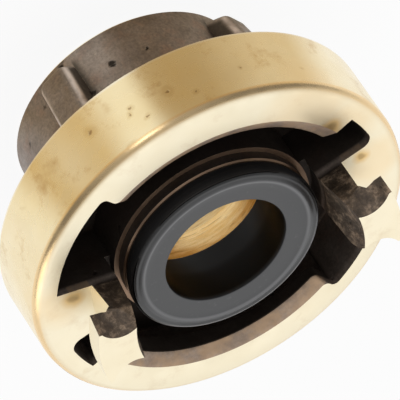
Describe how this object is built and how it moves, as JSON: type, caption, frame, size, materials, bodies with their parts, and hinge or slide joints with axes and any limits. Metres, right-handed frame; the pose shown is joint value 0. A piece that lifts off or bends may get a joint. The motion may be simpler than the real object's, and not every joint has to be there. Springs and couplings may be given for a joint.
{
  "type": "storz hose coupling",
  "caption": "Fixed brass hose coupling half with hooked lugs, a ramped lip, a rubber face seal and a female pipe thread behind.",
  "frame": {"origin": "centre of the flat rear face", "axes": "+Z along the waterway towards the lugs, lug centres on the X axis"},
  "size_m": [0.055, 0.055, 0.0371],
  "materials": {
    "brass": "turned bright on the ring, lug tops and bore, dark brown casting skin elsewhere",
    "rubber": "moulded black rubber, slightly dusty grey on the face"
  },
  "bodies": {
    "root": {"coupling_body": "brass", "seal_ring": "rubber"}
  },
  "joints": []
}
